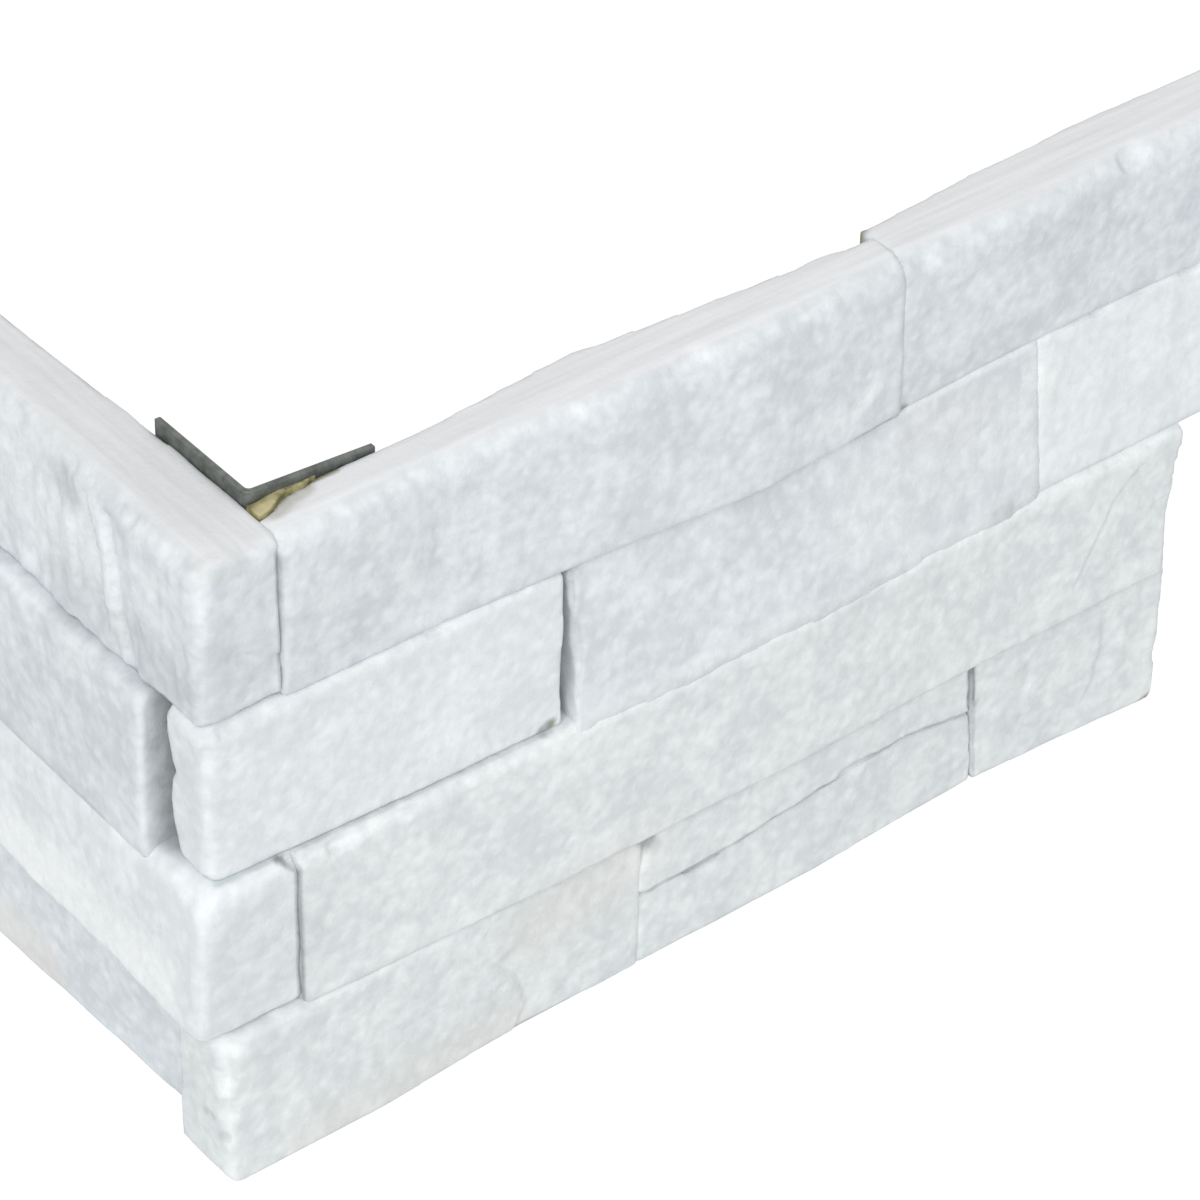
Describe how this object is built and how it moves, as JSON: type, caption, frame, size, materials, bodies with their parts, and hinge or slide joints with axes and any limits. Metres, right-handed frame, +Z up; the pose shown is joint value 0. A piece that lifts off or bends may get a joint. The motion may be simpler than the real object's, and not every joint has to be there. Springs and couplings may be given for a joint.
{
  "type": "outside-corner ledger stone panel",
  "caption": "Outside-corner ledger panel of white split-face stone strips in staggered courses, joined behind by a bent steel angle and epoxy.",
  "frame": {"origin": "the wall's corner at the foot: where the flat backs of the two wings meet, on the surface that the panel stands on", "axes": "+Z up, +X along the long wing away from the corner, +Y along the short wing away from the corner"},
  "size_m": [0.3097, 0.2062, 0.1552],
  "materials": {
    "grey_white_stone": "split face, tumbled edges",
    "pale_stone": "split face, tumbled edges",
    "steel": "dull mill scale",
    "epoxy": "cured, dull"
  },
  "bodies": {
    "root": {"long_strip_top_inner": "grey_white_stone", "long_strip_top_outer": "grey_white_stone", "long_strip_third_corner": "pale_stone", "long_strip_third_middle": "grey_white_stone", "long_strip_third_outer": "pale_stone", "long_strip_second": "pale_stone", "long_strip_foot_corner": "pale_stone", "long_strip_foot_lower": "pale_stone", "long_strip_foot_upper": "pale_stone", "long_strip_foot_outer": "pale_stone", "short_strip_top": "grey_white_stone", "short_strip_third": "grey_white_stone", "short_strip_second": "pale_stone", "short_strip_foot": "pale_stone", "corner_angle": "steel", "corner_epoxy": "epoxy"}
  },
  "joints": []
}
